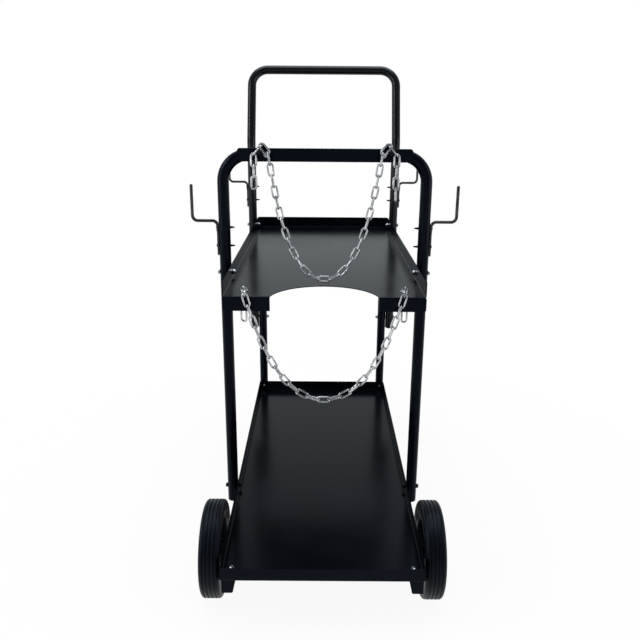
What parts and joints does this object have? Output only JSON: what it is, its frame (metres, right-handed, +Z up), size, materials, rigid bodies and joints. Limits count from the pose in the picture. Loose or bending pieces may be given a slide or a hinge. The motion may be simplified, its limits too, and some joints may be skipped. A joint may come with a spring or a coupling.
{
  "type": "welding cart",
  "caption": "Two-tier steel welding cart with a bent-tube frame, gas-cylinder recess and retaining chains, cable hooks, push handle, fixed rear wheels and swivel front casters.",
  "frame": {"origin": "on the ground, under the middle of the cart's width and length", "axes": "+Z up, +Y towards the push handle and the swivel casters, +X to the right seen from the cylinder end"},
  "size_m": [0.5032, 0.9375, 0.9845],
  "materials": {
    "black_powder_coat": "semi-gloss black powder coat",
    "zinc_plate": "bright zinc plate",
    "tyre_rubber": "matt black rubber",
    "black_plastic": "satin black plastic"
  },
  "bodies": {
    "cart": {"bottom_tray": "black_powder_coat", "upper_tray": "black_powder_coat", "cylinder_frame": "black_powder_coat", "push_handle": "black_powder_coat", "lower_leg_left": "black_powder_coat", "lower_leg_right": "black_powder_coat", "crossbar": "black_powder_coat", "chain_peg_left": "black_powder_coat", "chain_peg_right": "black_powder_coat", "cable_hook_near_left": "black_powder_coat", "cable_hook_near_right": "black_powder_coat", "cable_hook_far_left": "black_powder_coat", "cable_hook_far_right": "black_powder_coat", "axle_bracket_left": "black_powder_coat", "axle_bracket_right": "black_powder_coat", "axle": "zinc_plate", "axle_nut_left": "zinc_plate", "axle_nut_right": "zinc_plate", "caster_stem_left": "zinc_plate", "caster_stem_right": "zinc_plate", "lower_chain_end_left": "zinc_plate", "lower_chain_end_right": "zinc_plate", "frame_bolt_low_left": "zinc_plate", "frame_bolt_low_right": "zinc_plate", "frame_bolt_high_left": "zinc_plate", "frame_bolt_high_right": "zinc_plate", "handle_bolt_left": "zinc_plate", "handle_bolt_right": "zinc_plate", "leg_bolt_low_left": "zinc_plate", "leg_bolt_low_right": "zinc_plate", "leg_bolt_high_left": "zinc_plate", "leg_bolt_high_right": "zinc_plate", "tray_bolt_left": "zinc_plate", "tray_bolt_right": "zinc_plate", "bracket_bolt_left": "zinc_plate", "bracket_bolt_right": "zinc_plate", "crossbar_bolt_left": "zinc_plate", "crossbar_bolt_right": "zinc_plate", "frame_plug_left": "black_plastic", "frame_plug_right": "black_plastic", "handle_plug_left": "black_plastic", "handle_plug_right": "black_plastic"},
    "wheel_left": {"rear_rim_left": "black_plastic", "rear_tyre_left": "tyre_rubber"},
    "wheel_right": {"rear_rim_right": "black_plastic", "rear_tyre_right": "tyre_rubber"},
    "swivel_left": {"caster_fork_left": "zinc_plate", "caster_axle_left": "zinc_plate"},
    "swivel_right": {"caster_fork_right": "zinc_plate", "caster_axle_right": "zinc_plate"},
    "roller_left": {"caster_wheel_left": "black_plastic", "caster_tyre_left": "tyre_rubber"},
    "roller_right": {"caster_wheel_right": "black_plastic", "caster_tyre_right": "tyre_rubber"},
    "top_chain": {"upper_chain": "zinc_plate", "upper_chain_tail_left": "zinc_plate", "upper_chain_tail_right": "zinc_plate"},
    "low_chain": {"lower_chain": "zinc_plate"}
  },
  "joints": [
    {"name": "rear_wheel_left_spin", "type": "hinge", "parent": "cart", "child": "wheel_left", "pos_m": [-0.201, -0.35577, 0.089], "axis": [1, 0, 0], "continuous": true},
    {"name": "rear_wheel_right_spin", "type": "hinge", "parent": "cart", "child": "wheel_right", "pos_m": [0.201, -0.35577, 0.089], "axis": [1, 0, 0], "continuous": true},
    {"name": "caster_left_swivel", "type": "hinge", "parent": "cart", "child": "swivel_left", "pos_m": [-0.1665, 0.39353, 0.07], "axis": [0, 0, 1], "continuous": true},
    {"name": "caster_right_swivel", "type": "hinge", "parent": "cart", "child": "swivel_right", "pos_m": [0.1665, 0.39353, 0.07], "axis": [0, 0, 1], "continuous": true},
    {"name": "caster_left_roll", "type": "hinge", "parent": "swivel_left", "child": "roller_left", "pos_m": [-0.1665, 0.37153, 0.0315], "axis": [1, 0, 0], "continuous": true},
    {"name": "caster_right_roll", "type": "hinge", "parent": "swivel_right", "child": "roller_right", "pos_m": [0.1665, 0.37153, 0.0315], "axis": [1, 0, 0], "continuous": true},
    {"name": "upper_chain_swing", "type": "hinge", "parent": "cart", "child": "top_chain", "pos_m": [0, -0.22577, 0.818], "axis": [-1, 0, 0], "range_deg": [0, 60]},
    {"name": "lower_chain_swing", "type": "hinge", "parent": "cart", "child": "low_chain", "pos_m": [0, -0.32482, 0.5737], "axis": [-1, 0, 0], "range_deg": [0, 60]}
  ]
}
